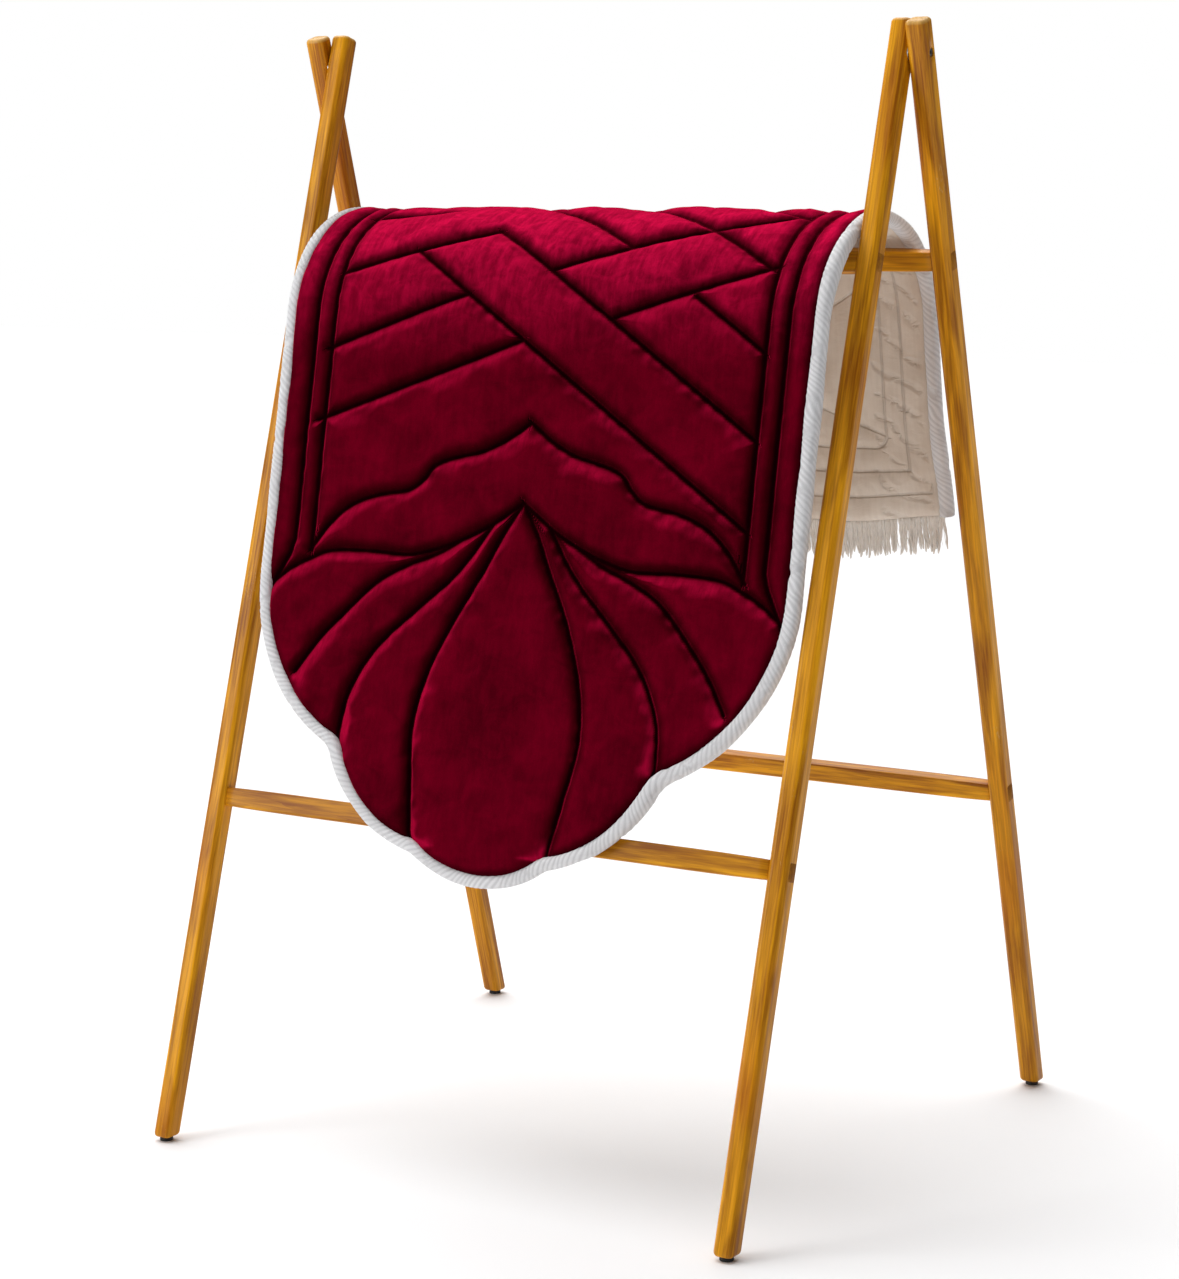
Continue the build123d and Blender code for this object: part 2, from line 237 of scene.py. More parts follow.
def weave():
    """The stitch lines in five groups, so that lines of one group never meet at a sharp crossing."""
    falling = [straight(*ends) for ends in (
        ((-183, 114), (275, 411)), ((-92, 78), (276, 317)), ((-276, -134), (88, 103)), ((187, 166), (276, 225)),
        ((-92, -102), (270, 133)), ((-276, -314), (-187, -256)), ((-276, -221), (-180, -159)),
        ((10, -131), (276, 42)), ((-184, -345), (276, -46)), ((-30, -345), (276, -146)))]
    rising = [straight(*ends) for ends in (
        ((-274, 146), (-92, 79)), ((-280, 235), (-99, 168)), ((-284, 316), (-21, 219)), ((0, 137.5), (270, 37)),
        ((90, 192), (277, 128)), ((-276, 54), (-180, 19)), ((-180, -159), (10, -230)), ((-92, -102), (84, -167)),
        ((96, -263), (276, -330)), ((-187, -256), (-95, -288)))]
    ogee = both_sides(
        smooth_line((0, 308), (28, 327), (57, 341), (85, 348), (107, 354), (122, 362), (131, 374)),
        smooth_line((131, 374), (150, 388), (190, 396), (215, 404), (235, 415), (257, 435), (278, 463)),
        straight((276, -300), (276, 463)),
        straight((300, -300), (300, 452), (306, 470), (318, 492), (332, 516)),
        rounded_frame(276.0, -345.0, 14.0),
        straight((276, -331), (276, -300)),
        straight((300, -300), (300, -373), (0, -373)),
        straight((323, -395), (323, -403), (0, -403)),
    )
    lotus = both_sides(
        smooth_line((0, 395), (40, 422), (81, 442), (113, 453), (146, 460), (196, 459), (248, 462), (278, 473),
                    (305, 487), (332, 508)),
        smooth_line((0, 395), (22, 430), (40, 466), (72, 525), (97, 588), (106, 647), (97, 712), (86, 775)),
    )
    petals = both_sides(
        smooth_line((37, 421), (60, 455), (84, 483), (117, 513), (166, 561), (195, 612), (202, 660), (199, 686)),
        smooth_line((74, 439), (106, 457), (144, 472), (182, 493), (222, 532), (250, 564), (274, 600)),
    )
    return falling, rising, ogee, lotus, petals


REACH = 60.0
GROUPS = ("seam_falling", "seam_rising", "seam_ogee", "seam_lotus", "seam_petals")


def seam_field(points, lines):
    """For flat points: signed distance to the nearest line, its size, and the distance along that line.

    The foot of the perpendicular on each straight span is clipped to the span; the sign is the side of the span.
    """
    near = np.full(len(points), REACH)
    signed = np.full(len(points), REACH)
    along = np.zeros(len(points))
    for line in lines:
        walked = 0.0
        for a, b in zip(line[:-1], line[1:]):
            low, high = np.minimum(a, b) - REACH, np.maximum(a, b) + REACH
            close = np.flatnonzero(np.all((points > low) & (points < high), axis=1))
            span = b - a
            length = np.hypot(*span)
            offset = points[close] - a
            foot = np.clip(offset @ span / length**2, 0, 1)
            gap = np.hypot(*(offset - foot[:, None] * span).T)
            better = gap < near[close]
            chosen = close[better]
            near[chosen] = gap[better]
            side = np.sign(span[0] * offset[better, 1] - span[1] * offset[better, 0])
            signed[chosen] = np.where(side == 0, 1, side) * gap[better]
            along[chosen] = walked + foot[better] * length
            walked += length
    return np.stack([signed, near, along], axis=-1)


def inside_distance(u, v, inset):
    """Distance in from the edge of the scalloped shape: the largest of the distances inside its circles.

    The straight sides belong to the shoulder's circle: above it only the distance across counts.
    """
    deepest = np.full(np.broadcast(u, v).shape, -np.inf)
    for centre_u, centre_v, radius in SCALLOPS:
        above = 0.0 if centre_v == SHOULDER[1] else -np.inf
        out = np.hypot(np.maximum(np.abs(u) - centre_u, 0), np.maximum(v - centre_v, above))
        deepest = np.maximum(deepest, radius - inset - out)
    return deepest


def ripple(u, v, wavelength, seed, stretch=(1.0, 1.0)):
    """Smooth seeded noise of about unit size: the mean of twenty plane waves of near this wavelength."""
    rng = np.random.default_rng(seed)
    angle, phase = rng.uniform(0, 2 * math.pi, (2, 20))
    wave = 2 * math.pi / (wavelength * rng.uniform(0.7, 1.5, 20))
    total = np.zeros(np.broadcast(u, v).shape)
    for a, p, k in zip(angle, phase, wave):
        total += np.cos(k * (u * math.cos(a) / stretch[0] + v * math.sin(a) / stretch[1]) + p)
    return total / math.sqrt(10)


# ---------------------------------------------------------------- meshes
def grid_quads(rows, columns, wrap=False):
    """The quads of a grid of rows x columns points, numbered row by row; wrap joins the last column to the first."""
    r, c = np.meshgrid(np.arange(rows - 1), np.arange(columns if wrap else columns - 1), indexing="ij")
    n = (c + 1) % columns
    quads = np.stack([r * columns + c, r * columns + n, (r + 1) * columns + n, (r + 1) * columns + c], axis=-1)
    return quads.reshape(-1, 4)


def add_object(name, data):
    """A new object in the scene."""
    added = bpy.data.objects.new(name, data)
    bpy.context.scene.collection.objects.link(added)
    return added


def add_mesh(name, points, faces):
    """A new mesh object with its points in metres."""
    mesh = bpy.data.meshes.new(name)
    mesh.from_pydata(points.reshape(-1, 3), [], faces)
    return add_object(name, mesh)


def make_piece(name, points, faces, finish, slot, **attributes):
    """A smooth piece at the origin, with its finish and its point attributes; slot is not used."""
    piece = add_mesh(name, points, faces)
    mesh = piece.data
    mesh.polygons.foreach_set("use_smooth", np.full(len(mesh.polygons), True))
    put_attributes(mesh, **attributes)
    mesh.materials.append(finish)
    mesh.validate()
    mesh.update()
    return piece if slot else piece


def put_attributes(mesh, **attributes):
    """Writes point attributes: one number a point is a float, three are a vector."""
    for name, values in attributes.items():
        values = np.asarray(values, np.float32)
        kind, field = ("FLOAT", "value") if values.ndim == 1 else ("FLOAT_VECTOR", "vector")
        mesh.attributes.new(name, kind, "POINT").data.foreach_set(field, values.ravel())


def closed_edge(lift, v, inside, edge_lift, hem_lift):
    """Draws the lift to edge_lift at the bound edge and to hem_lift at the hem, over a few millimetres."""
    lift = lift + (edge_lift - lift) * np.exp(-np.maximum(inside, 0) / 4.0)
    return lift + (hem_lift - lift) * np.exp(-np.maximum(v + HEM, 0) / 5.0)


def quilt_side(name, cell, surface, middle, finish, slot):
    """One closed half of the quilt: a fine outer sheet, side walls and a plain hidden sheet at the mid-thickness.

    Row i of the sheet runs straight across between the two edge points at the same distance down the outline, and
    column t of it lies at the share t of the half width: u = t U(s), v = V(s).
    """
    whole = run_length(OUTLINE)
    rows = int(whole / cell) + 1
    distance = np.linspace(0.0, whole - 6.0, rows)
    edge_u, edge_v = outline(distance, SHEET_INSET)[:2]
    inner = HALF_WIDTH - SHEET_INSET
    stops = np.array([0.0, *FRAME_LINES, inner]) / inner
    half = np.concatenate([
        np.linspace(a, b, max(2, round((b - a) * inner / cell)), endpoint=False) for a, b in zip(stops, stops[1:])])
    share = np.concatenate([-np.append(half, 1.0)[:0:-1], np.append(half, 1.0)])
    u, v = edge_u[:, None] * share, np.broadcast_to(edge_v[:, None], (rows, len(share)))
    flat = np.stack([u.ravel(), v.ravel()], axis=-1)
    seams = [seam_field(flat, lines) for lines in weave()]
    near = np.min([s[:, 1] for s in seams], axis=0).reshape(u.shape)
    inside = inside_distance(u, v, SHEET_INSET)
    lift = surface(u, v, near, inside)
    # the surface's slope towards the ridge, and a little of its slope towards the left: how far it faces the light
    # from above and the left, which the velvet turns into painted highlight and painted shade
    uphill = np.gradient(lift, axis=0) / np.maximum(np.gradient(v, axis=0), 0.4) * np.clip(v / 60.0, -1, 1)
    leftward = np.gradient(lift, axis=1) / np.maximum(np.gradient(u, axis=1), 0.4)
    nap = np.clip(uphill + 0.25 * leftward, -1, 1)
    # near the bound edge counts as near a seam, so the painted shade of the valleys also falls beside the binding
    near = np.minimum(near, np.maximum(inside - 2.0, 0.0) + 3.0)
    outer = hang(u, v, lift).reshape(-1, 3)
    # few columns, but close together where the corner lifts
    hidden_share = np.concatenate([np.linspace(-1, 0.6, 6), np.linspace(0.66, 1.0, 8)])
    hidden = hang(edge_u[:, None] * hidden_share, edge_v[:, None], middle).reshape(-1, 3)
    columns, back_columns = len(share), len(hidden_share)
    count = rows * columns
    r = np.arange(rows - 1)
    left, right = r * columns, r * columns + columns - 1
    back = count + back_columns * r
    back_right = back + back_columns - 1
    faces = grid_quads(rows, columns)[:, ::-1].tolist() + (count + grid_quads(rows, back_columns)).tolist()
    faces += np.stack([back, back + back_columns, left + columns, left], axis=-1).tolist()
    faces += np.stack([back_right, right, right + columns, back_right + back_columns], axis=-1).tolist()
    faces.append([*range(count + back_columns - 1, count - 1, -1), *range(columns)])
    last = count + back_columns * (rows - 1)
    faces.append([*range(last, last + back_columns), *range(count - 1, count - columns - 1, -1)])
    if np.mean(lift) < middle:
        faces = [face[::-1] for face in faces]
    cloth = np.concatenate([np.stack([flat[:, 0], flat[:, 1], 0 * flat[:, 0]], axis=-1) * MM,
                            np.zeros((len(hidden), 3))])
    far = np.full((len(hidden), 3), REACH)
    attributes = {group: np.concatenate([s, far]) for group, s in zip(GROUPS, seams)}
    nearest = np.concatenate([near.ravel(), far[:, 0]])
    nap = np.concatenate([nap.ravel(), 0 * far[:, 0]])
    return make_piece(name, np.concatenate([outer, hidden]), faces, finish, slot, cloth=cloth, nearest=nearest,
                      nap=nap, **attributes)


def capped(rings, around):
    """Faces of a closed tube: its quads and one cap polygon at each end."""
    first = list(range(around))[::-1]
    last = list(range((rings - 1) * around, rings * around))
    return grid_quads(rings, around, wrap=True).tolist() + [first, last]


# ---------------------------------------------------------------- shader arithmetic
class Signal:
    """A shader socket in Python arithmetic: each operator adds one Math node to the finish it belongs to."""

    def __init__(self, finish, socket):
        self.finish, self.socket = finish, socket

    def math(self, operation, *values):
        return self.finish.node("ShaderNodeMath", {"operation": operation}, dict(enumerate(values)))

    def __add__(self, other):
        return self.math("ADD", self, other)

    def __sub__(self, other):
        return self.math("SUBTRACT", self, other)

    def __rsub__(self, other):
        return self.math("SUBTRACT", other, self)

    def __mul__(self, other):
        return self.math("MULTIPLY", self, other)

    def __abs__(self):
        return self.math("ABSOLUTE", self)

    __radd__ = __add__
    __rmul__ = __mul__

    def ramp(self, low, high):
        """0 below low, 1 above high and a smooth step between; low may be above high."""
        return self.finish.node("ShaderNodeMapRange", {"interpolation_type": "SMOOTHSTEP"},
                                {"Value": self, "From Min": low, "From Max": high})

    def larger(self, other):
        return self.math("MAXIMUM", self, other)

    def part(self, name):
        """Another output of the same node."""
        return Signal(self.finish, self.socket.node.outputs[name])


class Finish:
    """A node material whose nodes come from one method."""

    def __init__(self, name):
        self.material = bpy.data.materials.new(name)
        self.material.use_nodes = True
        self.tree = self.material.node_tree
        self.shader = self.tree.nodes["Principled BSDF"]

    def node(self, kind, settings=None, inputs=None, output=0):
        """Adds a node: its settings first, then its sockets' values or links.  Gives the named output."""
        node = self.tree.nodes.new(kind)
        for key, value in (settings or {}).items():
            setattr(node, key, value)
        for key, value in (inputs or {}).items():
            self.feed(node.inputs[key], value)
        return Signal(self, node.outputs[output])

    def feed(self, socket, value):
        """Links a signal to a socket, or sets the socket's own value."""
        if isinstance(value, Signal):
            self.tree.links.new(value.socket, socket)
        elif hasattr(value, "__len__") and len(value) == 3 and len(socket.default_value) == 4:
            socket.default_value = (*value, 1.0)
        else:
            socket.default_value = value

    def surface(self, **inputs):
        """Sets the Principled shader's sockets; base_color stands for Base Color."""
        for key, value in inputs.items():
            name = key.replace("_", " ").title().replace("Ior", "IOR")
            self.feed(self.shader.inputs[name], value)
        return self.material

    def mix(self, factor, a, b):
        """A colour between a and b."""
        return self.node("ShaderNodeMix", {"data_type": "RGBA"}, {0: factor, 6: a, 7: b}, output=2)

    def noise(self, place, scale, detail=2.0, roughness=0.5, distortion=0.0):
        return self.node("ShaderNodeTexNoise", {"noise_dimensions": "3D"}, {
            "Vector": place, "Scale": scale, "Detail": detail, "Roughness": roughness, "Distortion": distortion})

    def attribute(self, name, output="Vector"):
        return self.node("ShaderNodeAttribute", {"attribute_name": name}, output=output)

    def axes(self, vector):
        """The X, Y and Z parts of a vector; .part chooses one of the other two."""
        return self.node("ShaderNodeSeparateXYZ", None, {"Vector": vector})

    def stretched(self, place, scale, shift=(0.0, 0.0, 0.0)):
        return self.node("ShaderNodeMapping", None, {"Vector": place, "Location": shift, "Scale": scale})

    def object_place(self):
        return self.node("ShaderNodeTexCoord", output="Object")

    def bump(self, height, distance, strength):
        return self.node("ShaderNodeBump", None, {"Height": height, "Distance": distance, "Strength": strength})


def seam_mask(finish, inner, outer):
    """1 on the stitch lines and 0 past outer millimetres from them, as a number in the material."""
    total = None
    for name in GROUPS:
        parts = finish.axes(finish.attribute(name))
        line = abs(parts).ramp(outer, inner) * parts.part("Y").ramp(outer + 5.0, outer + 2.0)
        total = line if total is None else total.larger(line)
    return total


def linear(colour):
    """A colour given as sRGB bytes, as the linear values that a shader takes."""
    return tuple((c / 255 / 12.92) if c <= 10 else ((c / 255 + 0.055) / 1.055) ** 2.4 for c in colour)


def shaded(colour, share):
    """A colour with a share of its light."""
    return tuple(share * c for c in colour)


# ---------------------------------------------------------------- finishes
def velvet_finish(settings):
    """Crimson velvet: brushed pile, with painted highlights on the swell beside a seam and along the ridge, and
    painted shade in the valleys that turns almost black in the stitch lines.
    """
    f = Finish("crimson_velvet")
    cloth = f.attribute("cloth")
    patches = f.noise(cloth, 9.0, 3.0, 0.55, 0.5)
    brushed = f.noise(f.stretched(cloth, (1.0, 0.25, 1.0)), 130.0, 5.0, 0.7)
    crushed = f.noise(f.stretched(cloth, (0.7, 1.0, 1.0)), 38.0, 4.0, 0.6, 1.2)
    pile = f.noise(cloth, 900.0, 2.0, 0.6)
    near = f.attribute("nearest", "Fac")
    nap = f.attribute("nap", "Fac")
    lit = nap.ramp(0.12, 0.5)
    valley_shade = near.ramp(15.0, 1.0) * (1.0 - lit * 0.8)
    tone = (patches.ramp(0.2, 0.8) * 0.36 + brushed.ramp(0.2, 0.85) * 0.20 + crushed.ramp(0.3, 0.75) * 0.16
            + pile * 0.14)
    colour = f.mix(tone, settings.velvet_dark, settings.velvet_light)
    # painted highlight along the ridge, whose top faces the light from above and is seen at a grazing angle; noise
    # makes it patchy
    ridge = abs(f.axes(cloth).part("Y")).ramp(0.26, 0.04)
    highlit = ridge * (brushed.ramp(0.35, 0.7) * 0.35 + crushed.ramp(0.4, 0.65) * 0.25 + 0.25)
    colour = f.mix(highlit, colour, settings.velvet_ridge_highlight)
    # painted highlight where the surface slopes up towards the light, patchy with the brushed noise, and painted
    # shade where it slopes down into a seam
    colour = f.mix(lit * (0.3 + brushed.ramp(0.3, 0.7) * 0.3), colour, settings.velvet_crest_highlight)
    colour = f.mix(nap.ramp(-0.05, -0.5) * 0.45, colour, shaded(settings.velvet_dark, 0.12))
    # painted shade in the valleys beside the seams and the binding, weaker under the painted highlight
    colour = f.mix(valley_shade * 0.85, colour, shaded(settings.velvet_dark, 0.12))
    seam = seam_mask(f, 0.8, 4.6)
    # painted shade: the stitch lines turn almost black
    colour = f.mix(seam * 0.9, colour, shaded(settings.velvet_dark, 0.06))
    height = pile * 0.25 + brushed * 0.6 + crushed * 0.7 - seam * 1.6
    return f.surface(
        base_color=colour, roughness=0.9, specular_ior_level=0.0,
        sheen_weight=settings.sheen, sheen_roughness=0.34, sheen_tint=(*settings.sheen_colour, 1.0),
        normal=f.bump(height, 0.0008, 0.8))


def lining_finish(settings):
    """Cream cotton: a plain weave, faint stains, slanting puckers in the side channels, and painted shade in the
    puckers' folds and along the seams.
    """
    f = Finish("cream_lining")
    cloth = f.attribute("cloth")
    warp, weft = (f.node("ShaderNodeTexWave", {"wave_type": "BANDS", "bands_direction": direction},
                         {"Vector": cloth, "Scale": 320.0, "Distortion": 0.6, "Detail": 1.0}, output="Fac")
                  for direction in "XY")
    stains = f.noise(cloth, 9.0, 4.0, 0.6)
    slubs = f.noise(f.stretched(cloth, (1.0, 0.08, 1.0)), 260.0, 2.0)
    creases = f.noise(f.stretched(cloth, (1.0, 1.6, 1.0)), 30.0, 3.0, 0.6, 1.5)
    place = f.axes(cloth)
    side = abs(place)
    # slanting folds every 36 mm, bent a little by noise, only in the channels beside the frame lines
    slant = place.part("Y") + side * 0.8 + f.noise(cloth, 14.0, 2.0) * 0.05
    fold = slant.math("PINGPONG", slant, 0.018)
    channel = side.ramp(0.262, 0.268) * side.ramp(0.327, 0.322)
    pucker = fold.ramp(0.009, 0.0) * channel * creases.ramp(0.35, 0.6)
    tone = stains.ramp(0.35, 0.7) * 0.6 + slubs * 0.4
    colour = f.mix(tone, settings.lining_dark, settings.lining_light)
    seam = seam_mask(f, 0.4, 2.4)
    # painted shade along the seams and in the folds of the puckers
    colour = f.mix(seam * 0.22 + pucker * 0.08, colour, shaded(settings.lining_dark, 0.45))
    height = warp.larger(weft) * 0.2 + slubs * 0.3 + creases * 1.1 - seam * 1.6 - pucker * 2.6
    return f.surface(
        base_color=colour, roughness=0.88, specular_ior_level=0.15, sheen_weight=0.15, sheen_roughness=0.5,
        normal=f.bump(height, 0.0012, 0.8))


def binding_finish(settings):
    """Pale satin: fine threads along the cord's ribs and soft grey shade in the folds."""
    f = Finish("pale_satin_binding")
    wrap = f.attribute("wrap")
    threads = f.noise(f.stretched(wrap, (1.0, 9.0, 1.0)), 190.0, 3.0, 0.6)
    shade = f.noise(wrap, 26.0, 4.0, 0.6)
    hollow = f.axes(wrap).part("Z")
    colour = f.mix(shade.ramp(0.3, 0.65) * 0.65 + threads * 0.35, settings.binding_dark, settings.binding_light)
    # painted shade in the hollows between the ribs and in the tucks
    colour = f.mix(hollow.ramp(0.0, 1.0) * 0.35, colour, shaded(settings.binding_dark, 0.55))
    return f.surface(
        base_color=colour, roughness=threads * 0.2 + 0.42, specular_ior_level=0.4, sheen_weight=0.3,
        sheen_roughness=0.4, normal=f.bump(threads * 0.6 + shade * 1.6, 0.0010, 0.6))


def fringe_finish(settings):
    """Soft yarn: light and dark plies that wind round each strand."""
    f = Finish("fringe_yarn")
    wrap = f.attribute("wrap")
    plies = f.noise(wrap, 600.0, 3.0, 0.7)
    shade = f.noise(wrap, 60.0, 2.0)
    colour = f.mix(plies.ramp(0.3, 0.75) * 0.6 + shade * 0.4, settings.fringe_dark, settings.fringe_light)
    return f.surface(base_color=colour, roughness=0.9, specular_ior_level=0.2, sheen_weight=0.4,
                     sheen_roughness=0.5, normal=f.bump(plies, 0.0005, 0.8))


SCUFFED_WOOD = (0.62, 0.42, 0.18)


def wood_finish(settings):
    """Honey varnish on straight-grained softwood: long streaks, ring lines, scattered knots, scuffs and end grain."""
    f = Finish("honey_varnished_wood")
    grain = f.attribute("grain")
    end = f.attribute("end_grain", "Fac")
    wander = f.noise(f.stretched(grain, (1.0, 1.0, 0.5)), 9.0, 2.0)
    streak = f.noise(f.stretched(grain, (1.0, 1.0, 0.045)), 260.0, 5.0, 0.62, 0.4)
    broad = f.noise(f.stretched(grain, (1.0, 1.0, 0.10)), 55.0, 3.0, 0.55, 0.5)
    rings = f.node("ShaderNodeTexWave", {"wave_type": "RINGS", "rings_direction": "Z", "wave_profile": "SAW"},
                   {"Vector": f.stretched(grain, (1.0, 1.0, 0.05), (0.013, 0.021, 0.0)), "Scale": 95.0,
                    "Distortion": 5.0, "Detail": 2.0, "Detail Scale": 1.2}, output="Fac")
    cells = f.node("ShaderNodeTexVoronoi", {"feature": "F1"},
                   {"Vector": f.stretched(grain, (1.0, 1.0, 0.42)), "Scale": 24.0}, output="Distance")
    # about one cell in five holds a knot
    chosen = f.node("ShaderNodeSeparateColor", None, {"Color": cells.part("Color")}).ramp(0.80, 0.84)
    knot = cells.ramp(0.19, 0.07) * chosen
    halo = cells.ramp(0.42, 0.10) * chosen
    tone = broad.ramp(0.34, 0.66) * 0.5 + streak.ramp(0.36, 0.66) * 0.32 + rings * 0.18
    colour = f.mix(tone, settings.wood_dark, settings.wood_light)
    colour = f.mix(wander.ramp(0.5, 0.8) * 0.5, colour, settings.wood_red)
    colour = f.mix(halo * 0.45, colour, settings.wood_red)
    colour = f.mix(knot * 0.85, colour, shaded(settings.wood_dark, 0.25))
    scuff = f.noise(f.stretched(grain, (1.0, 1.0, 0.3)), 420.0, 3.0, 0.7) * f.noise(grain, 14.0, 2.0)
    pale = scuff.ramp(0.40, 0.46)
    colour = f.mix(pale * 0.35, colour, SCUFFED_WOOD)
    worn = f.attribute("worn", "Fac")
    pores = f.noise(grain, 520.0, 3.0, 0.7)
    colour = f.mix(worn * (0.35 + 0.5 * pores), colour, settings.worn_end)
    colour = f.mix(end * (0.55 + 0.3 * pores), colour, settings.end_grain)
    return f.surface(
        base_color=colour, roughness=0.34 + streak * 0.12 + pale * 0.25 + end * 0.25, specular_ior_level=0.14,
        coat_weight=0.10 - end * 0.1, coat_roughness=0.16,
        normal=f.bump(streak * 0.6 - knot * 0.6 + end * pores, 0.0004, 0.5))


def rubber_finish():
    """Dark rubber with a dusty, slightly pitted face."""
    f = Finish("dark_foot_rubber")
    place = f.object_place()
    dust = f.noise(place, 180.0, 3.0)
    pits = f.noise(place, 1500.0, 2.0)
    colour = f.mix(dust.ramp(0.45, 0.8), (0.012, 0.012, 0.013), (0.06, 0.055, 0.05))
    return f.surface(base_color=colour, roughness=0.62 + dust * 0.25, normal=f.bump(pits, 0.0003, 0.5))


def metal_finish(name, low, high, roughness):
    """Turned metal: two tones in fine scratches."""
    f = Finish(name)
    place = f.object_place()
    scratch = f.noise(f.stretched(place, (0.2, 1.0, 1.0)), 1800.0, 3.0, 0.7)
    stain = f.noise(place, 240.0, 3.0)
    colour = f.mix(scratch * 0.5 + stain.ramp(0.35, 0.7) * 0.5, low, high)
    return f.surface(base_color=colour, metallic=1.0, roughness=roughness + scratch * 0.2,
                     normal=f.bump(scratch, 0.0001, 0.4))


# ---------------------------------------------------------------- settings
def colour_property(name, description, colour):
    return FloatVectorProperty(name=name, description=description, subtype="COLOR", size=3, min=0.0, max=1.0,
                               default=linear(colour))


def length_property(name, description, default, low, high):
    """A length given in millimetres."""
    return FloatProperty(name=name, description=description, unit="LENGTH", default=default * MM, min=low * MM,
                         max=high * MM)


class QuiltSettings(bpy.types.PropertyGroup):
    """What a user would change on the quilt."""

    mesh_cell: length_property("Mesh Cell", "Side of one cell of the velvet's surface", 2.7, 1.5, 20.0)
    stitch_depth: length_property("Stitch Depth", "How far the stitches pull the velvet in", 6.6, 0.0, 7.5)
    swell: length_property("Swell", "How far the wadding pushes the velvet out between stitch lines", 1.6, 0.0, 6.0)
    rib_pitch: length_property("Rib Pitch", "Distance along the binding from rib to rib", 7.0, 3.0, 30.0)
    strands: IntProperty(name="Strands", description="Strands in the fringe", default=300, min=20, max=400)
    strand_length: length_property("Strand Length", "Mean length of a fringe strand", 42.5, 10.0, 44.0)
    sheen: FloatProperty(name="Sheen", description="Strength of the velvet's edge light", default=0.9,
                         subtype="FACTOR", min=0.0, max=1.0)
    sheen_colour: colour_property("Sheen Colour", "Colour of the velvet's edge light", (255, 30, 84))
    velvet_dark: colour_property("Velvet Dark", "Velvet pile that lies away from the light", (48, 0, 8))
    velvet_light: colour_property("Velvet Light", "Velvet pile that faces the light", (128, 0, 31))
    # colour of the velvet's painted highlight on the swells that face the light
    velvet_crest_highlight: colour_property("Velvet Crest Highlight", "Velvet pile on the uphill side of a swell", (206, 14, 66))
    # colour of the velvet's painted highlight along the ridge
    velvet_ridge_highlight: colour_property("Velvet Ridge Highlight", "Velvet pile rubbed upright along the ridge", (232, 18, 78))
    lining_dark: colour_property("Lining Dark", "Cream lining in its darker patches", (204, 187, 170))
    lining_light: colour_property("Lining Light", "Cream lining", (238, 227, 214))
    binding_dark: colour_property("Binding Dark", "Satin binding in its folds", (222, 221, 223))
    binding_light: colour_property("Binding Light", "Satin binding", (251, 251, 252))
    fringe_dark: colour_property("Fringe Dark", "Yarn between the plies", (222, 213, 202))
    fringe_light: colour_property("Fringe Light", "Yarn", (250, 246, 240))


class RackSettings(bpy.types.PropertyGroup):
    """What a user would change on the rack."""

    chamfer: length_property("Leg Chamfer", "Flat taken off each long corner of a leg", 4.0, 1.0, 7.0)
    end_round: length_property("End Rounding", "Rounding of the legs' ends", 4.6, 0.5, 6.0)
    wood_dark: colour_property("Wood Dark", "Dark streaks of the varnished wood", (134, 70, 0))
    wood_light: colour_property("Wood Light", "Light streaks of the varnished wood", (246, 172, 22))
    wood_red: colour_property("Wood Red", "Redder patches and the rings round knots", (178, 86, 1))
    end_grain: colour_property("End Grain", "End grain of the tenons", (120, 72, 26))
    worn_end: colour_property("Worn End", "Worn varnish on the tops of the legs", (240, 196, 118))


class StudioSettings(bpy.types.PropertyGroup):
    """The camera and the lights."""

    azimuth: FloatProperty(name="Azimuth", description="Camera direction round the rack, from the front to the right",
                           default=math.radians(31.68), subtype="ANGLE")
    elevation: FloatProperty(name="Elevation", description="How far the camera looks down",
                             default=math.radians(8.71), subtype="ANGLE")
    camera_place: FloatVectorProperty(name="Camera Place", description="Where the camera stands", subtype="XYZ",
                                      unit="LENGTH", default=(1.7321, -2.8373, 1.0614))
    focal_share: FloatProperty(name="Focal Length Share", description="Focal length over the image's long side",
                               default=2.3186, min=0.5, max=10.0)
    ambient: FloatProperty(name="Ambient", description="Light from the white surroundings", default=0.16, min=0.0)
    key_strength: FloatProperty(name="Key Strength", description="Strength of the wide soft light from above",
                                default=3.5, min=0.0)
    fill_power: FloatProperty(name="Fill Power", description="Power of the softbox on the left", default=58.0,
                              unit="POWER", min=0.0)
    backdrop: colour_property("Backdrop", "Floor and surroundings", (250, 250, 251))


# ---------------------------------------------------------------- the quilt's pieces
def bend_over_rails(piece, *nodes):
    """Hides the CAD nodes that a quilt piece stands in for, and bakes the piece's placement into its mesh."""
    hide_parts(*nodes)
    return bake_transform(piece)


class QUILTRACK_OT_velvet(bpy.types.Operator):
    """Adds the velvet face with its wadding"""

    bl_idname = "quiltrack.velvet"
    bl_label = "Velvet Face"

    def execute(self, context):
        settings = context.scene.quilt_settings
        depth, swell = settings.stitch_depth / MM, settings.swell / MM

        def surface(u, v, near, inside):
            """Lift = -depth at a seam, rising to +swell as 1 - exp(-distance / 9.5), with ripples."""
            rise = 1 - np.exp(-(np.hypot(near, 1.6) - 1.6) / 9.5)
            waves = 0.9 * ripple(u, v, 110, 1) + 0.45 * ripple(u, v, 38, 2)
            pucker = np.exp(-near / 11) * ripple(u, v, 18, 3) * 0.3
            lift = -depth + (depth + swell) * rise + waves * rise + pucker
            return closed_edge(lift, v, inside, -6.6, -7.4)

        piece = quilt_side("quilt_velvet", settings.mesh_cell / MM, surface, MID + 0.1,
                           velvet_finish(settings), "velvet")
        stretches = ("front", "crown", "back")
        bend_over_rails(piece, *(f"quilt_{s}_{layer}" for s in stretches for layer in ("face", "filling")))
        return {"FINISHED"}


LINING_CELL = 3.2           # side of one cell of the lining's surface


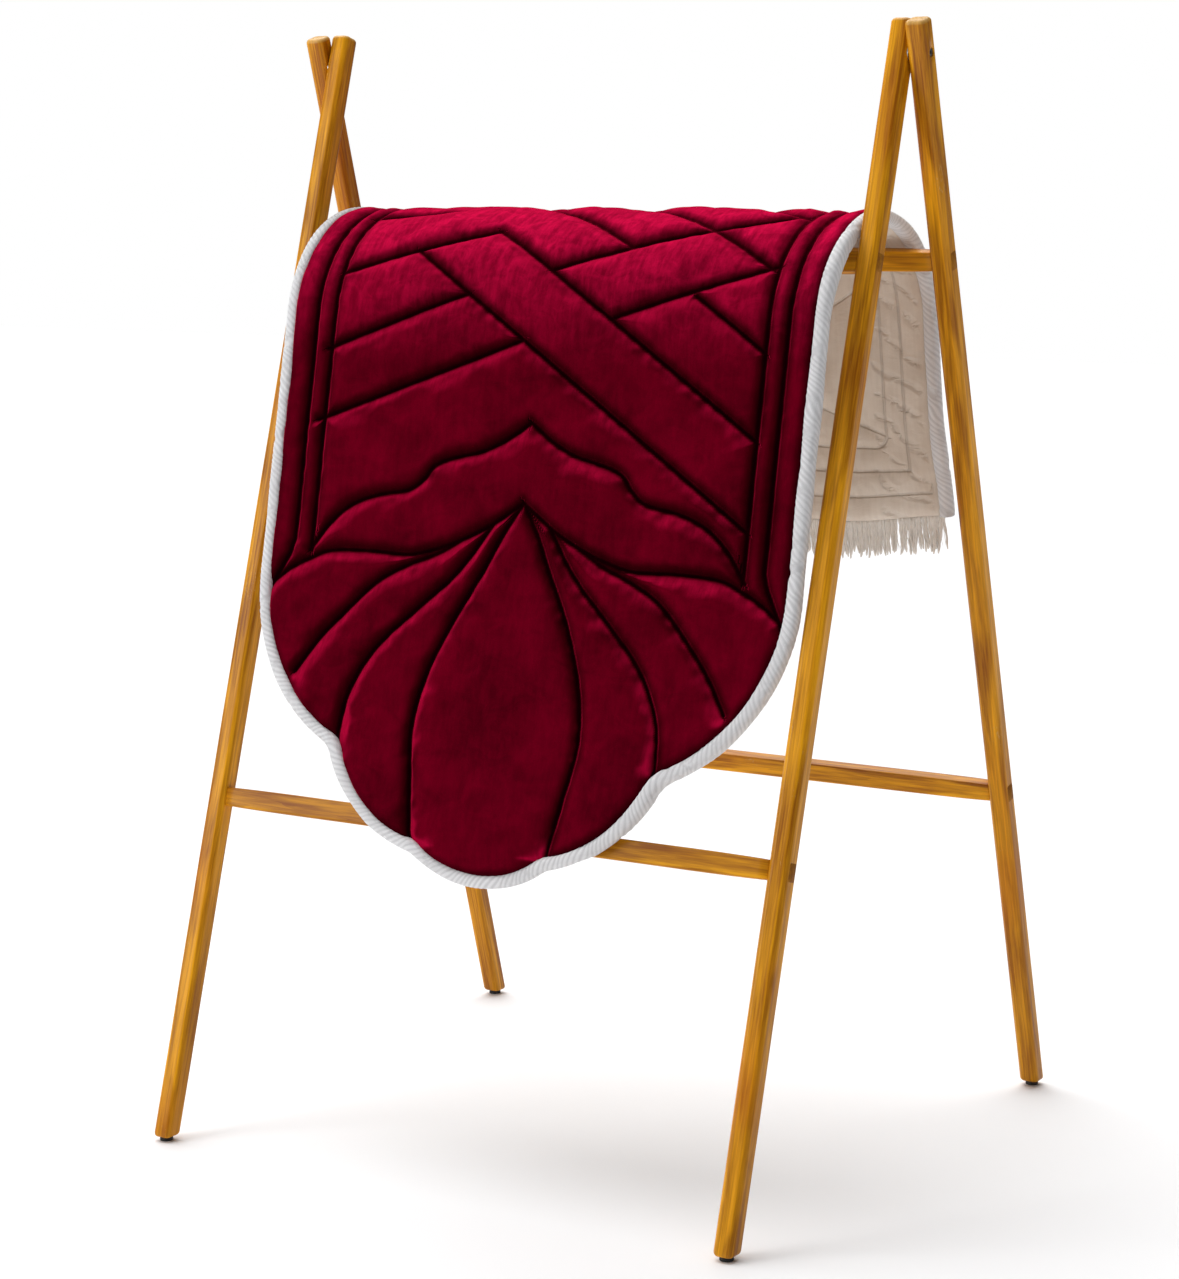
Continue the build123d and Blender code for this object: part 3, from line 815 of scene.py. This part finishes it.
class QUILTRACK_OT_lining(bpy.types.Operator):
    """Adds the cream lining under the wadding"""

    bl_idname = "quiltrack.lining"
    bl_label = "Lining"

    def execute(self, context):
        settings = context.scene.quilt_settings

        def surface(u, v, near, inside):
            """Lift = -thickness, pulled in by the seams as exp(-distance / 7), with small puckers near them."""
            pull = np.exp(-(np.hypot(near, 1.4) - 1.4) / 7.0)
            slant = ripple(u + 0.9 * v, v - 0.4 * u, 13, 5, (1.0, 2.6))
            pucker = np.exp(-near / 14) * np.maximum(slant - 0.5, 0) * 1.1
            lift = -THICK + 3.2 * pull + 0.5 * (1 + ripple(u, v, 60, 6)) * (1 - pull) * 0.6 + pucker
            return closed_edge(lift, v, inside, -9.6, -8.6)

        piece = quilt_side("quilt_lining", LINING_CELL, surface, MID - 0.1, lining_finish(settings), "lining_cloth")
        bend_over_rails(piece, *(f"quilt_{s}_lining" for s in ("front", "crown", "back")))
        return {"FINISHED"}


CORD_INSET = 8.2            # from the quilt's edge to the middle of the binding
CORD_HALF = (7.9, 8.6)      # half the binding's width across the quilt and through it


def with_mirror(values, sign):
    """Values along the right half of the edge, followed by their mirror image along the left half."""
    return np.concatenate([values, sign * values[-2::-1]])


class QUILTRACK_OT_binding(bpy.types.Operator):
    """Adds the ribbed satin binding round the edge"""

    bl_idname = "quiltrack.binding"
    bl_label = "Edge Binding"

    def execute(self, context):
        settings = context.scene.quilt_settings
        whole = run_length(OUTLINE)
        distance = np.linspace(0.5, whole, int(whole / 1.3))
        u, v, across_u, across_v = outline(distance, CORD_INSET)
        u, v = with_mirror(u, -1), with_mirror(v, 1)
        across_u, across_v = with_mirror(across_u, -1), with_mirror(across_v, 1)
        run = np.concatenate([distance, 2 * whole - distance[-2::-1]])
        around = 30
        angle = full_turn(around)
        pitch = settings.rib_pitch / MM
        jitter = 1.6 * ripple(run, 0 * run, 60, 11) + 0.7 * ripple(run, 0 * run, 18, 12)
        phase = 2 * math.pi * (run + jitter)[:, None] / pitch + 6 * angle
        ridge = 0.5 + 0.5 * np.cos(phase)
        strength = 0.24 + 0.14 * ripple(run, 0 * run, 35, 13)[:, None]
        tuck = np.maximum(ripple(run[:, None] + 5 * np.cos(angle), 12 * np.sin(angle), 22, 14) - 1.1, 0)
        radius = 1 + (strength * (ridge**0.7 - 0.6) - 0.8 * tuck) / 8.0
        swell = 1 + 0.03 * ripple(run, 0 * run, 90, 15)[:, None]
        width, depth = (half * radius * swell for half in CORD_HALF)
        # the section is squarer than an ellipse: both half-axes grow towards its diagonals
        square = 1 + 0.07 * np.sin(2 * angle) ** 2
        cos, sin = np.cos(angle) * square, np.sin(angle) * square
        ring_u = u[:, None] + across_u[:, None] * width * cos
        ring_v = v[:, None] + across_v[:, None] * width * cos
        points = hang(ring_u, ring_v, MID + depth * sin)
        # the third value is how deep a point lies between ribs or in a tuck, where the satin gets painted shade
        wrap = np.stack([np.broadcast_to(run[:, None], ridge.shape) * MM,
                         np.broadcast_to(8.5 * angle, ridge.shape) * MM,
                         np.clip(1 - ridge**0.7 + tuck, 0, 1)], axis=-1)
        faces = [face[::-1] for face in capped(len(run), around)]
        piece = make_piece("quilt_binding", points, faces, binding_finish(settings), "binding_satin",
                           wrap=wrap.reshape(-1, 3))
        strips = [f"quilt_{s}_{h}_binding" for s in ("crown", "back") for h in ("left", "right")]
        bend_over_rails(piece, "quilt_front_binding", *strips)
        return {"FINISHED"}


class QUILTRACK_OT_fringe(bpy.types.Operator):
    bl_idname = "quiltrack.fringe"
    bl_label = "Fringe"

    def execute(self, context):
        settings = context.scene.quilt_settings
        points, faces, wraps = [], [], []
        count = 0
        for kind, number, radius, reach, wander, seed in (
                ("strand", settings.strands, 1.7, 1.0, 2.6, 21), ("stray", settings.strands, 0.36, 0.86, 5.5, 22)):
            rng = np.random.default_rng(seed)
            rows, around = (10, 5) if kind == "strand" else (7, 3)
            inner = HALF_WIDTH - EDGE + 1.0
            u0 = np.linspace(-inner, inner, number) + rng.uniform(-1.2, 1.2, number)
            length = settings.strand_length / MM * reach * rng.uniform(0.86, 1.07, number)
            t = np.linspace(0, 1, rows)
            sway = rng.normal(0, wander, number)[:, None] * t**1.4
            curl_u = 0.9 * np.sin(2 * math.pi * (t * rng.uniform(0.6, 1.4, number)[:, None]
                                                 + rng.uniform(0, 1, number)[:, None])) * t
            lean = rng.normal(0, 0.5 * wander, number)[:, None] * t**1.3 - 2.0 * t**2
            centre_u = u0[:, None] + sway + curl_u
            centre_v = -HEM + 1.5 - length[:, None] * t
            taper = radius * (1.12 - 0.35 * t) * rng.uniform(0.85, 1.15, number)[:, None]
            taper[:, -1] *= 0.55
            turn = rng.uniform(0, 2 * math.pi, number)[:, None] + 2 * math.pi * 1.6 * t
            angle = full_turn(around)
            # an oval section, turned a little more at each row, reads as two plies twisted together
            oval = 1 + 0.28 * np.cos(2 * (angle - turn[..., None]))
            ring_u = centre_u[..., None] + taper[..., None] * oval * np.cos(angle)
            ring_lift = MID + lean[..., None] + taper[..., None] * oval * np.sin(angle)
            ring_v = np.broadcast_to(centre_v[..., None], ring_u.shape)
            strand = hang(ring_u, ring_v, ring_lift)
            points.append(strand.reshape(-1, 3))
            one = np.array(grid_quads(rows, around, wrap=True))[:, ::-1]
            starts = count + rows * around * np.arange(number)
            faces += (one[None] + starts[:, None, None]).reshape(-1, 4).tolist()
            tip = np.arange((rows - 1) * around, rows * around)[::-1]
            root = np.arange(around)
            faces += (tip[None] + starts[:, None]).tolist() + (root[None] + starts[:, None]).tolist()
            count += strand[..., 0].size
            wraps.append(np.stack([ring_u * MM, ring_v * MM * 0.35 + 0.002 * (turn[..., None] + 0 * ring_u),
                                   ring_lift * MM], axis=-1).reshape(-1, 3))
        fringe = make_piece("quilt_fringe_strands", np.concatenate(points), faces, fringe_finish(settings),
                            "fringe_yarn", wrap=np.concatenate(wraps))
        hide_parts("quilt_fringe")
        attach(fringe, "back_frame")
        u, v = outline(np.linspace(0, run_length(OUTLINE), 2000), 0.0)[:2]
        area = np.sum((u[1:] + u[:-1]) * np.diff(v)) * MM * MM
        return {"FINISHED"}


# ---------------------------------------------------------------- the rack's pieces
def leaning(side):
    """The two directions of a frame: up along its legs, and across them towards the back."""
    up = np.array([0.0, -side * math.sin(SPLAY), math.cos(SPLAY)])
    over = np.array([0.0, math.cos(SPLAY), side * math.sin(SPLAY)])
    return up, over


def octagon(angle, half, chamfer, sharpness=44.0):
    """Radius of a chamfered square at each angle: the p-norm of the distances to its eight sides.

    Each side at distance h with normal n gives (n . direction / h); the p-norm rounds the corners between them.
    """
    total = np.zeros_like(angle)
    slant = (2 * half - chamfer) / math.sqrt(2)
    for number in range(8):
        reach = half if number % 2 == 0 else slant
        total += np.maximum(np.cos(angle - number * math.pi / 4) / reach, 0) ** sharpness
    return total ** (-1 / sharpness)


def rounded_end(length, radius, rows, steps=5):
    """Stations along a bar with rounded ends: (place from 0 to length, inset of the section there)."""
    bend = np.linspace(0, math.pi / 2, steps)
    place = np.concatenate([radius * (1 - np.cos(bend)),
                            np.linspace(radius, length - radius, rows)[1:-1],
                            length - radius * (1 - np.cos(bend[::-1]))])
    taken = np.concatenate([radius * (1 - np.sin(bend)), np.zeros(rows - 2), radius * (1 - np.sin(bend[::-1]))])
    return place, taken


class QUILTRACK_OT_legs(bpy.types.Operator):
    """Adds the four eight-sided legs, with the sunk screw holes in the back pair"""

    bl_idname = "quiltrack.legs"
    bl_label = "Legs"

    def execute(self, context):
        settings = context.scene.rack_settings
        finish = wood_finish(settings)
        for number, (frame_name, side, hand) in enumerate(
                (f, s, h) for f, s in (("front", -1), ("back", 1)) for h in ("left", "right")):
            self.leg(settings, finish, frame_name, hand, side, number)
        return {"FINISHED"}

    def leg(self, settings, finish, frame_name, hand_name, side, number):
        """Rings of a rounded octagon along the leg; the lowest rings are sheared so that the foot is level."""
        node, hand = f"{frame_name}_{hand_name}_leg", 1 if hand_name == "right" else -1
        low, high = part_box(node)
        half, x = (high.x - low.x) / 2, (high.x + low.x) / 2
        up, over = leaning(side)
        around = 48
        angle = full_turn(around)
        section = octagon(angle, half, settings.chamfer)
        # the leg's end above the pivot, from the highest corner of its box
        above = ((high.z - PIVOT.z) - (half - settings.end_round) * math.sin(SPLAY)) / math.cos(SPLAY)
        reach = above + (PIVOT.z - PAD_TOP) / math.cos(SPLAY)
        place, inset = rounded_end(reach, settings.end_round, 90)
        share = place / reach
        dents = 1 + 0.0035 * ripple(place[:, None] / MM, 11.0 * angle, 55, 40 + number, (3.0, 1.0))
        radius = np.maximum(section * dents - inset[:, None], 1.0 * MM)
        side_x, side_over = radius * np.cos(angle), radius * np.sin(angle)
        level = side_over * math.tan(SPLAY) * side
        # the 30th power keeps the shear to the lowest rings
        along = (above - reach) + place[:, None] - level * (1 - share)[:, None] ** 30
        points = (np.array([x, 0.0, PIVOT.z]) + side_x[..., None] * [1, 0, 0] + side_over[..., None] * over
                  + along[..., None] * up)
        faces = capped(len(place), around)
        piece = make_piece(f"{node}_turned", points, faces, finish, "varnished_wood")
        outward(piece)
        if side > 0:
            sink_screw(piece, x, hand, half)
        self.mark_grain(piece, x, side, number)
        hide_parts(node)
        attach(piece, f"{frame_name}_frame")

    def mark_grain(self, piece, x, side, number):
        """Grain coordinates across, over and along the leg, moved a step for each leg; worn is 1 on its top."""
        up, over = leaning(side)
        local = rows_of_three(piece.data.vertices, "co") - np.array([x, 0.0, PIVOT.z])
        along = local @ up
        worn = np.clip((along - along.max() + 4.5 * MM) / (3.0 * MM), 0, 1)
        grain = np.stack([local[:, 0] + 0.31 * number, local @ over, along + 1.7 * number], axis=-1)
        put_attributes(piece.data, grain=grain, worn=worn)


def rows_of_three(items, name, kind=float):
    """One property of a mesh's points or triangles, a row of three values for each."""
    values = np.empty(len(items) * 3, kind)
    items.foreach_get(name, values)
    return values.reshape(-1, 3)


def outward(piece):
    """Turns the faces of a closed piece to point outwards: its signed volume is the sum over its triangles."""
    mesh = piece.data
    mesh.calc_loop_triangles()
    places = rows_of_three(mesh.vertices, "co")
    a, b, c = (places[corner] for corner in rows_of_three(mesh.loop_triangles, "vertices", int).T)
    if np.sum(np.cross(a, b) * c) < 0:
        mesh.flip_normals()


def lathe(profile, around=40):
    """A profile of (radius, height) turned about Z and closed at both ends."""
    profile = np.array(profile, float)
    angle = full_turn(around)
    ring = np.stack([np.cos(angle), np.sin(angle)], axis=-1)
    points = np.concatenate([
        profile[:, 0, None, None] * ring,
        np.broadcast_to(profile[:, 1, None, None], (len(profile), around, 1))], axis=-1)
    return points, capped(len(profile), around)


HEAD_HEIGHT = 3.6 * MM                  # of the pivot screws


def sink_screw(piece, x, hand, half):
    """Cuts the round recess that the pivot screw's head sits in."""
    low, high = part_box("right_pivot_screw" if hand > 0 else "left_pivot_screw")
    head = max((high.y - low.y), (high.z - low.z)) / 2
    seat = (high.x - HEAD_HEIGHT) if hand > 0 else (low.x + HEAD_HEIGHT)
    face = x + hand * half
    points, faces = lathe([(head + 0.5 * MM, seat), (head + 0.5 * MM, face - hand * 0.5 * MM),
                           (head + 1.2 * MM, face + hand * 1.0 * MM)])
    points = points[..., [2, 0, 1]] + np.array([0.0, PIVOT.y, PIVOT.z])
    cutter = add_mesh("screw_recess", points, faces)
    outward(cutter)
    cut = piece.modifiers.new("recess", "BOOLEAN")
    cut.operation, cut.solver, cut.object = "DIFFERENCE", "EXACT", cutter
    bpy.context.view_layer.update()
    carved = bpy.data.meshes.new_from_object(piece.evaluated_get(bpy.context.evaluated_depsgraph_get()))
    piece.modifiers.remove(cut)
    piece.data = carved
    bpy.data.objects.remove(cutter)


RAIL_HALF = (7.75 * MM, 11.5 * MM)      # half a rail's thickness and height
TENON_HALF = (6.75 * MM, 10.0 * MM)
TENON_PROUD = 0.25 * MM                 # how far a tenon's end stands out of its leg


class QUILTRACK_OT_rails(bpy.types.Operator):
    """Adds the two top rails and the two lower stretchers with their through tenons"""

    bl_idname = "quiltrack.rails"
    bl_label = "Rails"

    def execute(self, context):
        finish = bpy.data.materials["honey_varnished_wood"]
        for number, (frame_name, side, node) in enumerate(
                (f, s, n) for f, s in (("front", -1), ("back", 1)) for n in ("top_rail", "lower_stretcher")):
            self.rail(finish, f"{frame_name}_{node}", frame_name, side, number)
        return {"FINISHED"}

    def rail(self, finish, node, frame_name, side, number):
        """Superellipse sections along X: a body with eased ends, then a narrower tenon through each leg.

        A section is (a cos^(2/n), b sin^(2/n)) of the angle, with n = 9 for an eased rectangle.
        """
        low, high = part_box(node)
        middle = (low + high) / 2
        shoulder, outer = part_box(f"{frame_name}_right_leg")[0].x, high.x + TENON_PROUD
        up, over = leaning(side)
        around = 44
        angle = full_turn(around) + math.pi / around
        power = 2 / 9
        unit_a = np.sign(np.cos(angle)) * np.abs(np.cos(angle)) ** power
        unit_b = np.sign(np.sin(angle)) * np.abs(np.sin(angle)) ** power
        inner = np.linspace(-1, 1, 61) * (shoulder - 0.4 * MM)
        ease = np.exp(-(shoulder - np.abs(inner)) / 0.02)
        level = 0 * inner
        thick = RAIL_HALF[0] * (1 - 0.03 * ease) * (1 + 0.006 * ripple(inner / MM, level, 120, 60 + number))
        tall = RAIL_HALF[1] * (1 - 0.09 * ease) * (1 + 0.008 * ripple(inner / MM, level, 150, 70 + number))
        ends = np.array([shoulder + 0.02 * MM, outer - 0.6 * MM, outer])
        place = np.concatenate([-ends[::-1], [-shoulder], inner, [shoulder], ends])
        tenon = np.array([1.0, 1.0, 0.955])
        half_a, half_b = (
            np.concatenate([tenon[::-1] * thin, [body[0] * neck], body, [body[-1] * neck], tenon * thin])
            for body, neck, thin in ((thick, 0.95, TENON_HALF[0]), (tall, 0.96, TENON_HALF[1])))
        a, b = half_a[:, None] * unit_a, half_b[:, None] * unit_b
        points = (np.array([0.0, middle.y, middle.z]) + place[:, None, None] * [1, 0, 0] + a[..., None] * over
                  + b[..., None] * up)
        faces = capped(len(place), around)
        along = np.broadcast_to(place[:, None], a.shape)
        grain = np.stack([a + 0.17 * (number + 5), b, along + 2.3 * number], axis=-1)
        end = (np.abs(along) > shoulder + 0.01 * MM).astype(float)
        piece = make_piece(f"{node}_shaped", points, faces, finish, "varnished_wood",
                           grain=grain.reshape(-1, 3), end_grain=end.ravel())
        outward(piece)
        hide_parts(node)
        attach(piece, f"{frame_name}_frame")


class QUILTRACK_OT_feet(bpy.types.Operator):
    """Adds the four round rubber feet"""

    bl_idname = "quiltrack.feet"
    bl_label = "Rubber Feet"

    def execute(self, context):
        finish = rubber_finish()
        for frame_name in ("front", "back"):
            for hand in ("left", "right"):
                node = f"{frame_name}_{hand}_foot_pad"
                low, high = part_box(node)
                middle = (low + high) / 2
                r, top = (high.x - low.x) / 2, high.z - low.z
                # a hollow underside, a rounded lip and a slightly waisted wall
                profile = [(1.7 * MM, 3.0 * MM), (3.05 * MM, 3.0 * MM), (3.15 * MM, 0.5 * MM), (3.6 * MM, 0.0),
                           (r - 1.0 * MM, 0.0), (r - 0.3 * MM, 0.25 * MM), (r, 0.9 * MM), (r - 0.25 * MM, 2.4 * MM),
                           (r - 0.1 * MM, 3.9 * MM), (r - 0.35 * MM, top - 0.3 * MM), (r - 1.0 * MM, top),
                           (1.7 * MM, top)]
                points, faces = lathe(profile)
                piece = make_piece(f"{node}_moulded", points + np.array([middle.x, middle.y, low.z]), faces, finish,
                                   "foot_rubber")
                outward(piece)
                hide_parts(node)
                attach(piece, f"{frame_name}_frame")
        return {"FINISHED"}


class QUILTRACK_OT_hardware(bpy.types.Operator):
    """Gives the screws, washers and inserts their metals"""

    bl_idname = "quiltrack.hardware"
    bl_label = "Screws and Inserts"

    def execute(self, context):
        steel = metal_finish("dull_screw_steel", (0.09, 0.085, 0.08), (0.26, 0.25, 0.24), 0.36)
        washer = metal_finish("plain_washer_steel", (0.40, 0.40, 0.40), (0.62, 0.62, 0.61), 0.28)
        brass = metal_finish("turned_brass", (0.55, 0.36, 0.10), (0.80, 0.58, 0.24), 0.25)
        for node, piece in frame["nodes"].items():
            metal = next((m for word, m in (("insert", brass), ("screw", steel), ("washer", washer)) if word in node),
                         None)
            if metal:
                for slot in piece.material_slots:
                    slot.material = metal
        return {"FINISHED"}


# ---------------------------------------------------------------- the studio
def aimed(place, direction):
    """The matrix of a camera or a light that stands at a place and looks along a direction."""
    return Matrix.Translation(place) @ direction.to_track_quat("-Z", "Y").to_matrix().to_4x4()


class QUILTRACK_OT_stage(bpy.types.Operator):
    """Adds the pale floor, the soft lights and the camera"""

    bl_idname = "quiltrack.stage"
    bl_label = "Stage"

    def execute(self, context):
        settings = context.scene.studio_settings
        scene = context.scene
        self.floor(settings)
        self.lights(settings)
        world = bpy.data.worlds.new("studio")
        world.use_nodes = True
        nodes, links = world.node_tree.nodes, world.node_tree.links
        seen, strength = nodes.new("ShaderNodeLightPath"), nodes.new("ShaderNodeMapRange")
        strength.inputs["To Min"].default_value = settings.ambient
        strength.inputs["To Max"].default_value = 1.0
        links.new(seen.outputs["Is Camera Ray"], strength.inputs["Value"])
        links.new(strength.outputs["Result"], nodes["Background"].inputs["Strength"])
        nodes["Background"].inputs["Color"].default_value = (1.0, 1.0, 1.0, 1.0)
        scene.world = world
        camera = add_object("camera", bpy.data.cameras.new("camera"))
        camera.data.lens = camera.data.sensor_width * settings.focal_share
        camera.data.clip_end = 100.0
        a, e = settings.azimuth, settings.elevation
        forward = Vector((-math.sin(a) * math.cos(e), math.cos(a) * math.cos(e), -math.sin(e)))
        camera.matrix_world = aimed(settings.camera_place, forward)
        scene.camera = camera
        scene.view_settings.view_transform = "Standard"
        return {"FINISHED"}

    def floor(self, settings):
        """A wide flat floor under the rack."""
        f = Finish("pale_floor")
        tint = f.noise(f.object_place(), 1.3, 2.0)
        material = f.surface(base_color=f.mix(tint, settings.backdrop, shaded(settings.backdrop, 0.985)),
                             roughness=0.7, specular_ior_level=0.2)
        reach = np.linspace(-14.0, 14.0, 29)
        x, y = np.meshgrid(reach, reach, indexing="ij")
        points = np.stack([x, y, 0 * x], axis=-1)
        make_piece("floor", points, grid_quads(*x.shape).tolist(), material, None)

    def lights(self, settings):
        """A wide soft light from above and behind on the left, and a tall softbox on the left."""
        sky = {"energy": settings.key_strength, "angle": math.radians(70)}
        softbox = {"energy": settings.fill_power, "shape": "RECTANGLE", "size": 1.6, "size_y": 2.4}
        for name, kind, place, aim, values in (
                ("overhead", "SUN", (-1.6, 1.2, 4.0), (0.0, 0.0, 0.0), sky),
                ("left", "AREA", (-2.4, -2.9, 1.8), (0.0, 0.0, 0.7), softbox)):
            light = add_object(name, bpy.data.lights.new(name, kind))
            for key, value in values.items():
                setattr(light.data, key, value)
            light.matrix_world = aimed(place, Vector(aim) - Vector(place))


class QUILTRACK_PT_panel(bpy.types.Panel):
    """Lists the pieces and their settings"""

    bl_idname = "QUILTRACK_PT_panel"
    bl_label = "Quilt Rack"
    bl_space_type = "VIEW_3D"
    bl_region_type = "UI"
    bl_category = "Quilt Rack"

    def draw(self, context):
        layout = self.layout
        for step in STEPS:
            layout.operator(step.bl_idname)
        for group in (context.scene.quilt_settings, context.scene.rack_settings, context.scene.studio_settings):
            box = layout.box()
            for name in group.__annotations__:
                box.prop(group, name)


STEPS = (
    QUILTRACK_OT_velvet, QUILTRACK_OT_lining, QUILTRACK_OT_binding, QUILTRACK_OT_fringe,
    QUILTRACK_OT_legs, QUILTRACK_OT_rails, QUILTRACK_OT_feet, QUILTRACK_OT_hardware, QUILTRACK_OT_stage,
)
CLASSES = (QuiltSettings, RackSettings, StudioSettings, *STEPS, QUILTRACK_PT_panel)


def register():
    for cls in CLASSES:
        bpy.utils.register_class(cls)
    bpy.types.Scene.quilt_settings = PointerProperty(type=QuiltSettings)
    bpy.types.Scene.rack_settings = PointerProperty(type=RackSettings)
    bpy.types.Scene.studio_settings = PointerProperty(type=StudioSettings)


def unregister():
    del bpy.types.Scene.quilt_settings, bpy.types.Scene.rack_settings, bpy.types.Scene.studio_settings
    for cls in reversed(CLASSES):
        bpy.utils.unregister_class(cls)


def main():
    """Builds every piece in order."""
    register()
    for step in STEPS:
        group, name = step.bl_idname.split(".")
        getattr(getattr(bpy.ops, group), name)()


if __name__ == "__main__":
    main()
